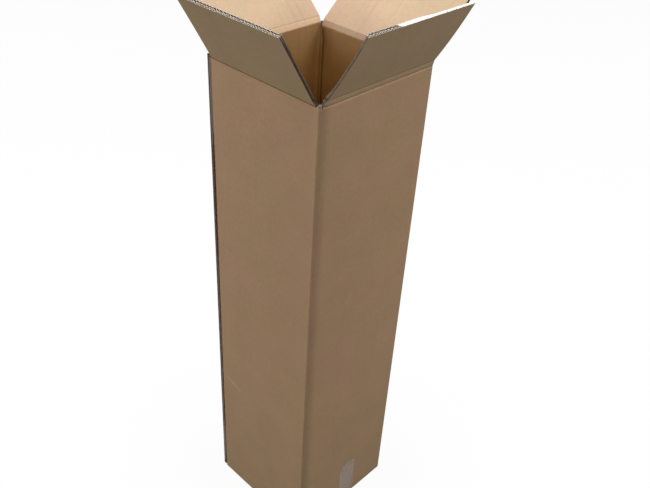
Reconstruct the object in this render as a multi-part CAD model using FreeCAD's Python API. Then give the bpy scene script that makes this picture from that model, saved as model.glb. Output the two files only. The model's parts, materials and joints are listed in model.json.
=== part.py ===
import FreeCAD, Part
import math
import os

from FreeCAD import Vector

# A tall shipping box folded from one blank of double-wall corrugated board.
# X runs right, Y runs back and Z runs up. The origin is the middle of the
# footprint, on the surface that the box stands on. All lengths are in mm.

# The space inside the closed box.
inside_width = 254.0
inside_depth = 254.0
inside_height = 1016.0

# The board: three flat liners with two fluted papers between them. The finer
# flutes lie towards the outside of the box.
liner = 0.25
fluting = 0.25
outer_flute_height = 2.2
outer_flute_pitch = 6.2
inner_flute_height = 3.25
inner_flute_pitch = 7.9
flute_crest_share = 0.12
board = 3 * liner + outer_flute_height + inner_flute_height

# Folds: the upright corners and the bottom edges, measured on the outside.
corner_radius = 11.0
fold_radius = 8.0

# Slots between the flaps, the seams where flaps meet, and the creases.
slot_clearance = 0.5
seam_gap = 1.5
crease_gap = 0.4
stacking_gap = 0.4

# How far each top flap leans out from upright as the box stands open.
rest_lean = {"front": 30.0, "right": 29.0, "back": 45.0, "left": 42.0}

# The glued joint: a tab on the front panel lies inside the left panel, whose
# cut edge stays in sight a little behind the front face.
tab_length = 38.0
tab_relief = 12.0
joint_fold_radius = 4.0
joint_setback = 1.0
open_flute_depth = 3.0

# Clear tape over the bottom seam and up both side walls. Its right end is torn:
# each point is a share of the width and how far it stands above the tape's rise.
tape_width = 48.0
tape_thickness = 0.08
tape_offset = 8.0
tape_rise_left = 118.0
tape_rise_right = 118.0
tape_tear = [(0.0, 0.0), (0.15, 6.5), (0.56, 14.0), (1.0, 6.5)]

# Sizes that follow from the ones above.
width = inside_width + 2 * board
depth = inside_depth + 2 * board
inner_crease = 2 * board + inside_height + board
outer_crease = inner_crease + board + stacking_gap
flap_inset = corner_radius + slot_clearance
upright = Vector(0, 0, 1)

# Each side: the quarter turn from the front, half its own span, its distance
# from the middle, its top crease and the level of its bottom flap.
sides = {
    "front": (0, width / 2, depth / 2, inner_crease, 0.0),
    "right": (90, depth / 2, width / 2, outer_crease, board),
    "back": (180, width / 2, depth / 2, inner_crease, 0.0),
    "left": (270, depth / 2, width / 2, outer_crease, board),
}


def to_side(shape, turn, reach):
    """Move a shape built on a front face at y = 0 to its side of the box."""
    shape.translate(Vector(0, -reach, 0))
    shape.rotate(Vector(0, 0, 0), upright, turn)
    return shape


def block(low, high):
    """A box from its lowest to its highest corner."""
    size = [high[i] - low[i] for i in range(3)]
    return Part.makeBox(size[0], size[1], size[2], Vector(*low))


def flat_face(points):
    """A flat face inside a closed outline."""
    return Part.Face(Part.makePolygon(points + [points[0]]))


def flute_cells(span, floor, height, pitch):
    """The open cells of one fluted layer across a span.

    The fluting zigzags between two liners with a short flat at each crest,
    so every pitch holds one cell that widens upwards and one that widens
    downwards. The outermost cells run past the span and are cut open.
    """
    crest = flute_crest_share * pitch
    run = pitch / 2 - 2 * crest
    web = fluting * math.hypot(1.0, run / height) / 2
    narrow = crest + run * fluting / height - web
    wide = crest + run - web
    count = int(span / pitch) + 1
    cells = []
    for index in range(-count, count + 1):
        middle = index * pitch / 2
        if abs(middle) - wide > span / 2:
            continue
        if index % 2:
            low, high, base, top = floor, floor + height - fluting, wide, narrow
        else:
            low, high, base, top = floor + fluting, floor + height, narrow, wide
        cells.append(flat_face([
            Vector(middle - base, low, 0),
            Vector(middle + base, low, 0),
            Vector(middle + top, high, 0),
            Vector(middle - top, high, 0),
        ]))
    return cells


def fluted_board(half_width, length):
    """A straight length of board, standing up, with its flutes open at both ends.

    The outer liner is at y = 0 and the flutes run upwards.
    """
    section = flat_face([
        Vector(-half_width, 0, 0),
        Vector(half_width, 0, 0),
        Vector(half_width, board, 0),
        Vector(-half_width, board, 0),
    ])
    inner_floor = 2 * liner + outer_flute_height
    cells = flute_cells(2 * half_width, liner, outer_flute_height, outer_flute_pitch)
    cells += flute_cells(2 * half_width, inner_floor, inner_flute_height, inner_flute_pitch)
    return section.cut(Part.makeCompound(cells)).extrude(Vector(0, 0, length))


def top_flap(half_span, reach):
    """An upright flap with its crease on the X axis.

    Its base is mitred, so that it turns about its outer edge and meets the
    mitred wall when it is shut.
    """
    half_width = half_span - flap_inset
    flap = fluted_board(half_width, reach - seam_gap / 2)
    start = crease_gap / 2
    mitre = flat_face([
        Vector(-half_span, -board, -board),
        Vector(-half_span, 2 * board, -board),
        Vector(-half_span, 2 * board, start + 2 * board),
        Vector(-half_span, -board, start - board),
    ]).extrude(Vector(2 * half_span, 0, 0))
    return flap.cut(mitre)


def placed_flap(name):
    """A top flap leaning out from its crease, as the box stands open."""
    turn, half_span, reach, crease, _ = sides[name]
    flap = top_flap(half_span, reach)
    flap.rotate(Vector(0, 0, 0), Vector(1, 0, 0), rest_lean[name])
    flap.translate(Vector(0, 0, crease))
    return to_side(flap, turn, reach)


def bottom_fold(half_width, level):
    """The crushed board of a bottom fold, a quarter turn round its inner edge."""
    centre = Vector(0, fold_radius, level + fold_radius)
    slant = Vector(0, -math.sqrt(0.5), -math.sqrt(0.5))
    inner_radius = fold_radius - board
    outline = [
        Part.Arc(Vector(0, 0, centre.z), centre + slant * fold_radius,
                 Vector(0, fold_radius, level)),
        Part.LineSegment(Vector(0, fold_radius, level), Vector(0, fold_radius, level + board)),
        Part.Arc(Vector(0, fold_radius, level + board), centre + slant * inner_radius,
                 Vector(0, board, centre.z)),
        Part.LineSegment(Vector(0, board, centre.z), Vector(0, 0, centre.z)),
    ]
    wire = Part.Wire([line.toShape() for line in outline])
    fold = Part.Face(wire).extrude(Vector(2 * half_width, 0, 0))
    fold.translate(Vector(-half_width, 0, 0))
    return fold


def folded_panel(name):
    """A wall, its bottom fold and its bottom flap."""
    turn, half_span, reach, crease, level = sides[name]
    half_width = half_span - corner_radius
    foot = level + fold_radius
    rim = crease - crease_gap / 2
    wall = fluted_board(half_width, rim - foot)
    wall.translate(Vector(0, 0, foot))
    mitre = flat_face([
        Vector(-half_span, -board, rim + board),
        Vector(-half_span, 2 * board, rim + board),
        Vector(-half_span, 2 * board, rim - 2 * board),
    ]).extrude(Vector(2 * half_span, 0, 0))
    wall = wall.cut(mitre)
    flap = fluted_board(half_width, reach - seam_gap / 2 - fold_radius)
    flap.rotate(Vector(0, 0, 0), Vector(1, 0, 0), 90)
    flap.rotate(Vector(0, 0, 0), upright, 180)
    flap.translate(Vector(0, fold_radius, level))
    return [to_side(piece, turn, reach) for piece in (wall, bottom_fold(half_width, level), flap)]


def folded_corner(side_x, side_y, start_turn):
    """An upright corner fold, from the bottom slot's end to the top slot's end."""
    height = inner_crease - board
    outer = Part.makeCylinder(corner_radius, height, Vector(0, 0, 0), upright, 90)
    inner = Part.makeCylinder(corner_radius - board, height, Vector(0, 0, 0), upright, 90)
    corner = outer.cut(inner)
    corner.rotate(Vector(0, 0, 0), upright, start_turn)
    corner.translate(Vector(side_x * (width / 2 - corner_radius),
                            side_y * (depth / 2 - corner_radius), board))
    return corner


def glued_joint():
    """The front panel's glue tab, its fold, and the left panel's cut edge."""
    left = -width / 2
    front = -depth / 2
    low = board
    high = inner_crease
    fold = block((left + board, front, low), (left + corner_radius, front + board, high))
    fold_edge = [
        edge for edge in fold.Edges
        if abs(edge.BoundBox.XMax - (left + board)) < 0.01
        and abs(edge.BoundBox.YMax - front) < 0.01
    ]
    fold = fold.makeFillet(joint_fold_radius, fold_edge)
    tab = block((left + board, front + board, 2 * board + tab_relief),
                (left + 2 * board, front + tab_length, high - board - tab_relief))
    cut_edge = block((left, front + joint_setback, low),
                     (left + board, front + corner_radius, high))
    outer_row = left + liner
    inner_row = outer_row + outer_flute_height + liner
    for start, row in ((outer_row, outer_flute_height), (inner_row, inner_flute_height)):
        flute = block((start, front, low - board),
                      (start + row - fluting, front + joint_setback + open_flute_depth,
                       high + board))
        cut_edge = cut_edge.cut(flute)
    return [fold, tab, cut_edge]


def folded_box():
    """Four walls, three folded corners, the glued joint and the shut bottom."""
    pieces = []
    for name in sides:
        pieces += folded_panel(name)
    pieces.append(folded_corner(1, -1, 270))
    pieces.append(folded_corner(1, 1, 0))
    pieces.append(folded_corner(-1, 1, 90))
    pieces += glued_joint()
    return pieces[0].multiFuse(pieces[1:]).removeSplitter()


def tape_side(grown):
    """Corner points of the tape's path up one wall, grown outwards.

    The tape leaves the outer bottom flaps' ends, runs straight to the wall's
    rounded bottom fold, follows it and then lies on the wall.
    """
    centre = Vector(width / 2 - fold_radius, 0, board + fold_radius)
    bend = Vector(width / 2 - corner_radius, 0, 0)
    to_centre = centre - bend
    climb = math.atan2(to_centre.z, to_centre.x) - math.asin(fold_radius / to_centre.Length)
    radius = fold_radius + grown
    touch = centre + Vector(math.sin(climb), 0, -math.cos(climb)) * radius
    half_way = centre + Vector(math.sin((climb + math.pi / 2) / 2), 0,
                               -math.cos((climb + math.pi / 2) / 2)) * radius
    wall = centre + Vector(radius, 0, 0)
    corner = bend + Vector(math.tan(climb / 2), 0, -1) * grown
    return corner, touch, half_way, wall


def mirrored(point):
    """The same point on the other side wall."""
    return Vector(-point.x, point.y, point.z)


def tape_path(grown, top_left, top_right):
    """One face of the tape, from the top of the left wall to the right wall."""
    corner, touch, half_way, wall = tape_side(grown)
    start = Vector(-wall.x, 0, top_left)
    end = Vector(wall.x, 0, top_right)
    return start, end, [
        Part.LineSegment(start, mirrored(wall)),
        Part.Arc(mirrored(wall), mirrored(half_way), mirrored(touch)),
        Part.LineSegment(mirrored(touch), mirrored(corner)),
        Part.LineSegment(mirrored(corner), corner),
        Part.LineSegment(corner, touch),
        Part.Arc(touch, half_way, wall),
        Part.LineSegment(wall, end),
    ]


def bottom_tape():
    """The strip of clear tape, with a torn end on the right wall."""
    top_right = tape_rise_right + max(rise for _, rise in tape_tear)
    start_in, end_in, inner = tape_path(0.0, tape_rise_left, top_right)
    start_out, end_out, outer = tape_path(tape_thickness, tape_rise_left, top_right)
    ends = [Part.LineSegment(end_in, end_out), Part.LineSegment(start_out, start_in)]
    wire = Part.Wire(Part.__sortEdges__([line.toShape() for line in inner + outer + ends]))
    near = tape_offset - tape_width / 2
    tape = Part.Face(wire).extrude(Vector(0, tape_width, 0))
    tape.translate(Vector(0, near, 0))
    behind = width / 2 - board
    above = top_right + board
    edge = [Vector(behind, near + share * tape_width, tape_rise_right + rise) for share, rise in tape_tear]
    corners = [Vector(behind, near + tape_width, above), Vector(behind, near, above)]
    torn = flat_face(edge + corners).extrude(Vector(2 * board, 0, 0))
    return tape.cut(torn)


def save(name, shape):
    """Write one node as a single solid."""
    solids = shape.Solids
    if len(solids) != 1 or not shape.isValid():
        raise ValueError("%s has %d solids" % (name, len(solids)))
    solids[0].exportStep(os.path.join("parts", name + ".step"))
    print(name, round(solids[0].Volume), "mm3", len(solids[0].Faces), "faces")


os.makedirs("parts", exist_ok=True)
save("folded_box", folded_box())
for side in sides:
    save("flap_" + side, placed_flap(side))
save("bottom_tape", bottom_tape())
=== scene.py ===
"""A tall shipping box of double-wall corrugated board, open at the top.

The board is worked out as paper: three liners with two fluted papers between
them, folded from one blank. Lengths are in metres. Along a side of the box, s
runs to the right as seen from outside, v runs along the flutes and d is the
depth into the board from its outer face.
"""

import json
import math

import bpy
import numpy as np
from mathutils import Matrix, Vector


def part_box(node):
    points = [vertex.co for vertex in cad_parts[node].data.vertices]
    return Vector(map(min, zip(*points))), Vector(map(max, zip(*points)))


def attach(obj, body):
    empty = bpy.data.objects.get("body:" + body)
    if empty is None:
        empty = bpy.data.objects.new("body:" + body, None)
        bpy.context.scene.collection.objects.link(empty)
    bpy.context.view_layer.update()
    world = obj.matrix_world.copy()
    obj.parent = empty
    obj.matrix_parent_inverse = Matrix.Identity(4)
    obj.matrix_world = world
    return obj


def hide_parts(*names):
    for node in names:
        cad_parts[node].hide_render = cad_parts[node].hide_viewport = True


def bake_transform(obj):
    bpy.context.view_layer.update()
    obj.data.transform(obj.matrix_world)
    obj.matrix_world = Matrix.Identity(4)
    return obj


bl_info = {
    "name": "Corrugated shipping box",
    "version": (1, 0, 0),
    "blender": (4, 5, 0),
    "location": "View3D > Sidebar > Box",
    "description": "Builds a tall double-wall shipping box around its packed frame",
    "category": "Object",
}

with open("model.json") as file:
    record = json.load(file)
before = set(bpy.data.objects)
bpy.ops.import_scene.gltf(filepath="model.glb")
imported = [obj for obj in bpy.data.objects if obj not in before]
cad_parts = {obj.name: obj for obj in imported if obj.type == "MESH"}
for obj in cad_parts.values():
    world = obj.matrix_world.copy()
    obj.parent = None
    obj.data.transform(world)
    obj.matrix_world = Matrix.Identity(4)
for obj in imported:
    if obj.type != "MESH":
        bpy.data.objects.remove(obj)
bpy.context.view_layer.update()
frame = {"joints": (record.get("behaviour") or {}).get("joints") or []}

# Material places on every board piece.
# PAINTED_HIGHLIGHT is the near-white painted highlight on the right flap's end.
OUTER, INNER, CUT, FLUTE, RIM, PAINTED_HIGHLIGHT = range(6)

# Rows of the blank's grid: shares along the bottom flap, turns round its fold,
# shares up the wall, and shares from there to a corner's top.
FLAP_SHARE = np.linspace(1, 0, 10)[:-1]
FOLD_TURN = np.linspace(0, np.pi / 2, 7)[:-1]
WALL_SHARE = np.linspace(0, 1, 49)
LAST_SHARE = np.linspace(0, 1, 13)[1:]
BELOW = len(FLAP_SHARE) + len(FOLD_TURN)
WALL_END = BELOW + len(WALL_SHARE)
ROWS = WALL_END + len(LAST_SHARE)

# Columns across a wall, along the glued tab and round the tab's fold.
WALL_COLUMNS, TAB_COLUMNS, FOLD_COLUMNS = 37, 5, 7

# How far a bottom flap reaches down the blank's flat map.
FLAP_ON_BLANK = 0.11


# ---------------------------------------------------------------- settings

def metres(name, description, default, precision=5):
    """A setting that holds a length in metres."""
    return bpy.props.FloatProperty(
        name=name, description=description, default=default, unit="LENGTH", precision=precision)


def hue(name, description, default):
    """A setting that holds a colour."""
    return bpy.props.FloatVectorProperty(
        name=name, description=description, default=default, subtype="COLOR", size=3, min=0, max=1)


class BoardSettings(bpy.types.PropertyGroup):
    """The make-up of the board and how it is cut and folded."""

    liner: metres("Liner", "Thickness of each flat liner", 0.00025)
    fluting: metres("Fluting", "Thickness of each fluted paper", 0.00025)
    outer_flute_height: metres(
        "Outer flute height", "Height of the fine flutes next to the outside", 0.0022)
    outer_flute_pitch: metres("Outer flute pitch", "Width of one fine flute", 0.0062)
    inner_flute_height: metres(
        "Inner flute height", "Height of the coarse flutes next to the inside", 0.00325)
    inner_flute_pitch: metres("Inner flute pitch", "Width of one coarse flute", 0.0079)
    slot_inset: metres("Slot inset", "Distance from a corner to the foot of a flap's side", 0.0075)
    joint_inset: metres("Joint slot inset", "The same distance beside the glued joint", 0.0126)
    near_inset: metres(
        "Front slot inset", "The same distance on the front panel at its right corner", 0.0150)
    right_inset: metres(
        "Right slot inset", "The same distance on the right panel at its front corner", 0.0035)
    left_inset: metres(
        "Left slot inset", "How far the left flap's side lies from the front face", 0.0056)
    corner_top: metres("Corner top", "How far a corner's board stands above the creases", 0.0038)
    corner_leg: metres(
        "Inside corner", "Width that each wall gives to the facet in an inside corner", 0.0070)
    bottom_fold: metres("Bottom fold", "Outer radius of the bottom folds", 0.008)
    crease_zone: metres(
        "Crease zone", "Length of crushed board on each side of a top crease", 0.008)
    score_spread: metres(
        "Score spread", "Half the distance between the two lines of a double score", 0.0062)
    seam_gap: metres("Seam gap", "Gap where two shut flaps meet", 0.0015)
    open_length: metres(
        "Open length", "How far the flutes are modelled in from a hidden cut edge", 0.02, 4)
    tab_length: metres("Tab length", "Length of the glued tab from the front face", 0.038, 4)
    joint_setback: metres(
        "Joint setback", "How far the left panel's cut edge lies behind the front face", 0.001)
    skew: metres("Flap skew", "How far a flap's free end lies to one side of square", 0.003)
    taper: metres("Flap taper", "How far each side of a flap closes in by its free end", 0.0055)
    wall_bulge: metres("Wall bulge", "How far the middle of a wall stands out", 0.0008)


class ColourSettings(bpy.types.PropertyGroup):
    """The colours of the papers and the tape."""

    outer_liner: hue("Outer liner", "Colour of the board's outside", (0.510, 0.322, 0.188))
    # Painted shade: the flaps' outside is a darker, cooler copy of the outer liner, for the light that
    # falls on faces tilted down.
    flap_outside_shaded: hue("Flap outside", "Colour of the flaps' outside", (0.475, 0.337, 0.196))
    # Painted shade: the outside is darker towards the bottom folds, where the lamps' light falls off.
    outer_low_shaded: hue(
        "Outside low down", "Colour of the outside by the bottom folds", (0.452, 0.298, 0.170))
    inner_liner: hue("Inner liner", "Colour of the board's inside", (0.52, 0.380, 0.250))
    # Painted shade: the body's inside is the same inner liner, given darker, more saturated copies
    # further down for the shade and bounce light inside the box.
    inside_top_shade: hue(
        "Inside walls", "Colour of the inside just below the creases", (0.440, 0.266, 0.115))
    deep_inside_shade: hue(
        "Deep inside", "Colour of the inside well below the creases", (0.530, 0.298, 0.092))
    deepest_inside_shade: hue(
        "Deepest inside", "Colour of the inside far down the box", (0.300, 0.155, 0.038))
    # Painted shade: the fluted papers, and the liners' faces between them, are dark to stand in for the
    # shade inside the flute channels.
    fluting: hue("Fluting", "Colour of the fluted papers", (0.26, 0.18, 0.125))
    cut_edge: hue("Cut edge", "Colour of the papers' cut edges", (0.52, 0.46, 0.39))
    # Partly painted shade: the crushed edge's own brown, darkened further for crushed board that lies
    # in shadow.
    rim: hue("Crushed edge", "Colour of the cut edges of crushed board", (0.30, 0.235, 0.185))
    joint_edge: hue(
        "Joint edge", "Colour of the cut edge at the glued joint", (0.36, 0.29, 0.255))
    joint_low: hue(
        "Joint edge low down", "Colour of the same edge by the bottom fold", (0.56, 0.50, 0.43))
    # Painted shade: the flaps' side edges are near black, standing in for the shadow inside their open
    # flute channels.
    side_edge_shade: hue("Side edge", "Colour of the flaps' side edges", (0.20, 0.155, 0.13))
    # Painted highlight: near white, standing in for the glare of strong light on the right flap's
    # crushed end.
    painted_highlight_edge: hue(
        "Pale edge", "Colour of the frayed white end of the right flap", (0.90, 0.87, 0.83))
    tape: hue("Tape", "Colour of the clear tape", (0.64, 0.49, 0.39))


class TapeSettings(bpy.types.PropertyGroup):
    """The clear tape over the bottom seam."""

    serration: metres("Serration", "Depth of the teeth at the tape's cut end", 0.0008)
    tooth: metres("Tooth", "Width of one tooth at the tape's cut end", 0.0016)


class StageSettings(bpy.types.PropertyGroup):
    """The lamps, the floor and the camera."""

    ambient: bpy.props.FloatProperty(
        name="Ambient", description="Strength of the light from all round", default=0.06, min=0)
    top_lamp: bpy.props.FloatProperty(
        name="Top lamp", description="Power of the lamp above", default=72.0, min=0, unit="POWER")
    side_lamp: bpy.props.FloatProperty(
        name="Side lamps", description="Power of each tall lamp beside the box", default=96.0,
        min=0, unit="POWER")
    lens: bpy.props.FloatProperty(
        name="Lens", description="Focal length of the camera", default=41.81, min=1,
        subtype="DISTANCE_CAMERA", unit="CAMERA")


SETTINGS = {
    "box_board": BoardSettings,
    "box_colours": ColourSettings,
    "box_tape": TapeSettings,
    "box_stage": StageSettings,
}


def board():
    """The board settings of the scene."""
    return bpy.context.scene.box_board


def thickness():
    """The whole board: three liners and two flute rows."""
    b = board()
    return 3 * b.liner + b.outer_flute_height + b.inner_flute_height


# ---------------------------------------------------------------- shapes of lines

def ripple(x, seed, waves=5):
    """A smooth, repeatable unevenness from -1 to 1: a sum of sines of x."""
    random = np.random.default_rng(seed)
    turns = random.uniform(0.6, 3.0, waves)
    phases = random.uniform(0, 2 * np.pi, waves)
    x = np.asarray(x, float)
    return sum(np.sin(x * turn + phase) for turn, phase in zip(turns, phases)) / waves


def bells(x, *shapes):
    """A sum of bell curves of x, each given as its height, middle and width."""
    return sum(height * np.exp(-((x - middle) / width) ** 2) for height, middle, width in shapes)


def smooth(x):
    """The smooth step 3x^2 - 2x^3 of x held between 0 and 1."""
    x = np.clip(x, 0, 1)
    return x * x * (3 - 2 * x)


def rise(x, start, length):
    """A smooth step from 0 at a start to 1 a length further on; below 0 it runs the other way."""
    return smooth((x - start) / length)


def lengths_along(points):
    """The way along a line of points, from 0 at its first."""
    return np.concatenate([[0], np.cumsum(np.linalg.norm(np.diff(points, axis=0), axis=1))])


def grid_of(first, second):
    """Two grids of values: first changes down them, second across them."""
    return np.meshgrid(first, second, indexing="ij")


def points_of(*parts):
    """Points, or places on a flat map, from their separate coordinates."""
    return np.stack(np.broadcast_arrays(*parts), -1)


# ---------------------------------------------------------------- the sides

class Side:
    """One side of the box: its wall, its top crease and its flaps.

    place() turns a point given along the side, outwards and up into the row
    frame: a quarter turn for each side, counted from the front.
    """

    # How far the outer face draws back beside its first corner, and over what length.
    EASE = {"front": (0.0, 1.0), "right": (0.0027, 0.0165), "back": (0.0006, 0.0045),
            "left": (0.0006, 0.0045)}
    # How much shorter the inner face is at a corner, and the length that takes it up.
    SHORTER, TAKEN_UP = 0.0082, 0.03
    # How far a wall's inner face stays from the next wall where the corner is square.
    CLEARANCE = 0.0002

    def __init__(self, name, quarter):
        joint = next(j for j in frame["joints"] if j["child"] == name + "_flap")
        low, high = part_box("folded_box")
        spans = (high.x - low.x, high.y - low.y)
        self.name = name
        self.body = joint["child"]
        self.quarter = quarter
        self.half = spans[quarter % 2] / 2
        self.reach = spans[1 - quarter % 2] / 2
        self.crease = joint["pos_m"][2]
        self.lean = math.radians(-joint["range_deg"][0] - 90)

    def place(self, s, out, z):
        """(s, out, z) of this side as points of the row frame."""
        away = self.reach + out
        x, y = [(s, -away), (away, s), (-s, away), (-away, -s)][self.quarter]
        return points_of(x, y, z)

    def ends(self, level="wall"):
        """The s of this side's slots at a level: bottom, wall, crease or flap."""
        b = board()
        low = b.joint_inset if self.name == "front" else b.slot_inset
        high = b.slot_inset
        if self.name == "right" and level in ("wall", "crease"):
            low = b.right_inset
        if self.name == "front" and level != "bottom":
            high = b.near_inset
        if self.name == "left":
            high = b.joint_inset if level in ("bottom", "wall") else b.left_inset
        return low - self.half, self.half - high

    def samples(self, level="wall"):
        """The s of this side's columns: those of a sine, so closer together near its ends."""
        low, high = self.ends(level)
        most = 0.92 * np.pi / 2
        share = np.sin(np.linspace(-most, most, WALL_COLUMNS)) / math.sin(most)
        return (low + high) / 2 + (high - low) / 2 * share

    def ease(self, s):
        """How far the outer face has drawn back out of its first corner: a parabola."""
        depth, stretch = self.EASE[self.name]
        return depth * np.clip((self.ends()[0] + stretch - s) / stretch, 0, 1) ** 2

    def inner_line(self, s, z):
        """The s and the depth of the inner face behind the outer face's s, at a height.

        Near a corner the inner face is shorter than the outer one, so its
        columns are drawn together there, and it turns onto the corner's flat
        inside facet. By the top, where the flaps fold in, the facet has gone.
        """
        low = 0.0 if self.name == "front" else 1.0
        high = 0.0 if self.name == "left" else 1.0
        near_low = low * np.clip(1 - (s + self.half) / self.TAKEN_UP, 0, 1) ** 2
        near_high = high * np.clip(1 - (self.half - s) / self.TAKEN_UP, 0, 1) ** 2
        inner = s + self.SHORTER * (near_low - near_high)
        leg = self.half - thickness() - board().corner_leg
        facet = low * np.clip(-leg - inner, 0, 1) + high * np.clip(inner - leg, 0, 1)
        wall = self.half - thickness() - self.CLEARANCE
        square = tight(z)
        return inner + (np.clip(s, -wall, wall) - inner) * square, thickness() + facet * (1 - square)


def tight(z):
    """How far the inside corners have tightened into square ones at a height."""
    return rise(z, INNER_CREASE - 0.032, 0.020)


SIDES = [Side(name, quarter) for quarter, name in enumerate(("front", "right", "back", "left"))]
FRONT, RIGHT, _, LEFT = SIDES
INNER_CREASE = min(side.crease for side in SIDES)
OUTER_CREASE = max(side.crease for side in SIDES)


# ---------------------------------------------------------------- meshes

def new_thing(name, data):
    """A new object in the scene for a mesh, a lamp or a camera."""
    thing = bpy.data.objects.new(name, data)
    bpy.context.scene.collection.objects.link(thing)
    return thing


def slab(outer, inner, uv, places=(OUTER, INNER, RIM), keep=None, painted_light_marks=(0.0, 0.0)):
    """A closed sheet between two grids of points.

    The outer grid's cells face away from the inner grid, the inner grid's
    cells face the other way, and each cell side that has no neighbour gets a
    rim face. keep leaves cells out, as a slot does. uv is one map for both
    grids or a pair. painted_light_marks holds the painted shade (down to -1)
    and painted highlight (up to +1) laid on the outer and the inner grid.
    """
    rows, columns = outer.shape[:2]
    count = rows * columns
    index = np.arange(count).reshape(rows, columns)
    cells = np.stack([index[:-1, :-1], index[1:, :-1], index[1:, 1:], index[:-1, 1:]], -1)
    first = outer[1:, :-1] - outer[:-1, :-1]
    second = outer[:-1, 1:] - outer[:-1, :-1]
    facing = np.cross(first, second) * (outer - inner)[:-1, :-1]
    if facing.sum() < 0:
        cells = cells[..., ::-1]
    front = cells.reshape(-1, 4) if keep is None else cells[keep]
    edges = np.concatenate([front[:, [i, (i + 1) % 4]] for i in range(4)])
    alone = ~np.isin(edges[:, 0] * count + edges[:, 1], edges[:, 1] * count + edges[:, 0])
    a, b = edges[alone].T
    rim = np.stack([b, a, a + count, b + count], -1)
    faces = np.concatenate([front, front[:, ::-1] + count, rim])
    kinds = np.repeat(places, [len(front), len(front), len(rim)])
    points = np.concatenate([outer.reshape(-1, 3), inner.reshape(-1, 3)])
    maps = uv if isinstance(uv, tuple) else (uv, uv)
    flat = np.concatenate([part.reshape(-1, 2) for part in maps])
    depth = np.repeat([0.0, 1.0], count)
    painted_light = np.concatenate([np.broadcast_to(mark, (rows, columns)).ravel() for mark in painted_light_marks])
    used, faces = np.unique(faces, return_inverse=True)
    return points[used], faces.reshape(-1, 4), kinds, flat[used], depth[used], painted_light[used]


def skin(place, s, v, d, back, uv, kind):
    """A closed skin on the grid place(s, v, d): its other face lies back, a change of (s, v)."""
    return slab(place(s, v, d), place(s + back[0], v + back[1], d), uv, (kind,) * 3)


def piece(name, sheets, materials, sharp=32):
    """One mesh object made of several closed sheets."""
    counts = [len(sheet[0]) for sheet in sheets]
    starts = np.cumsum([0] + counts[:-1])
    faces = np.concatenate([sheet[1] + start for sheet, start in zip(sheets, starts)])
    points, kinds, flat, depth, painted_light = (
        np.concatenate([sheet[i] for sheet in sheets]) for i in (0, 2, 3, 4, 5))
    mesh = bpy.data.meshes.new(name)
    mesh.from_pydata(points.tolist(), [], faces.tolist())
    mesh.polygons.foreach_set("material_index", kinds.astype(np.int32))
    mesh.polygons.foreach_set("use_smooth", np.ones(len(faces), bool))
    layer = mesh.uv_layers.new(name="blank")
    layer.uv.foreach_set("vector", flat[faces].astype(np.float32).ravel())
    # The 'score' attribute carries painted shade (below 0) and painted highlights (above 0).
    for key, values in (("depth", depth), ("score", painted_light)):
        layer = mesh.attributes.new(key, "FLOAT", "POINT")
        layer.data.foreach_set("value", values.astype(np.float32))
    mesh.set_sharp_from_angle(angle=math.radians(sharp))
    for material in materials:
        mesh.materials.append(material)
    mesh.update()
    return new_thing(name, mesh)


def fluted_sheets(place, s_ends, v_ends, uv_start, steps, seed, drift=0.0, crest=None):
    """Board whose flutes show: three liners and two fluted papers.

    place(s, v, d) gives the points. A fluted paper's depth is the middle of
    its row plus half its swing times sin(2 pi s / pitch). Each paper's cut
    ends wander a little, and drift shifts the flutes sideways along v, as
    where the cut isn't quite in line with them. crest is an (s, part of a
    turn) at which the flutes' phase is fixed. The papers thicken into a burr
    at the cut.
    """
    burr_rise, burr_reach, last_stretch = 0.00016, 0.0009, 0.0012
    liner_step, liner_slack, flute_points, flute_slack = 0.008, 0.00015, 12, 0.0003
    b = board()
    low, high = s_ends
    span = high - low
    start, end = v_ends
    last = last_stretch / (end - start)
    v_share = np.concatenate([np.linspace(0, 1 - last, steps), [1 - last / 2, 1]])
    sheets = []

    def lay(count, order, slack, depths, places):
        """One paper with its own uneven cut, between the depths that depths(s, v, burr) gives."""
        s, w = grid_of(np.linspace(low, high, count + 1), v_share)
        v = start + (end - start + slack * ripple(s * 900, seed + order)) * w
        upper, lower = depths(s, v, burr_rise * smooth(1 - np.abs(end - v) / burr_reach))
        uv = points_of(uv_start + s, v)
        sheets.append(slab(place(s, v, upper), place(s, v, lower), uv, places))

    liners = [0.0, b.liner + b.outer_flute_height, thickness() - b.liner]
    for order, top in enumerate(liners):
        def flat_depths(s, v, burr):
            """A liner's two faces, with a burr where it meets a flute row."""
            return top - burr * (order > 0), top + b.liner + burr * (order < 2)

        places = (OUTER if order == 0 else FLUTE, INNER if order == 2 else FLUTE, CUT)
        lay(max(4, round(span / liner_step)), order, liner_slack, flat_depths, places)
    rows = [
        (b.liner, b.outer_flute_height, b.outer_flute_pitch),
        (2 * b.liner + b.outer_flute_height, b.inner_flute_height, b.inner_flute_pitch),
    ]
    for order, (top, height, pitch) in enumerate(rows, len(liners)):
        swing = (height - b.fluting) / 2
        phase = np.random.default_rng(seed + order).uniform()
        if crest is not None:
            phase = crest[1] - crest[0] / pitch

        def wave_depths(s, v, burr):
            """A fluted paper's two faces: its wave less and plus half its slanting thickness."""
            turn = 2 * np.pi * ((s + drift * v) / pitch + phase)
            slope = swing * np.cos(turn) * 2 * np.pi / pitch
            thick = b.fluting / 2 * np.hypot(1, slope) + burr
            middle = top + height / 2 + (swing - burr) * np.sin(turn)
            return middle - thick, middle + thick

        lay(round(span / pitch * flute_points), order, flute_slack, wave_depths,
            (FLUTE, FLUTE, CUT))
    return sheets


# ---------------------------------------------------------------- the body

def wall_top():
    """The height where the walls end and the top creases' crushed board begins."""
    return INNER_CREASE - board().crease_zone


def wall_low(side):
    """The height where a side's bottom fold ends and its wall begins."""
    outermost = side.crease == INNER_CREASE
    return board().bottom_fold + (0.0 if outermost else thickness())


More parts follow.
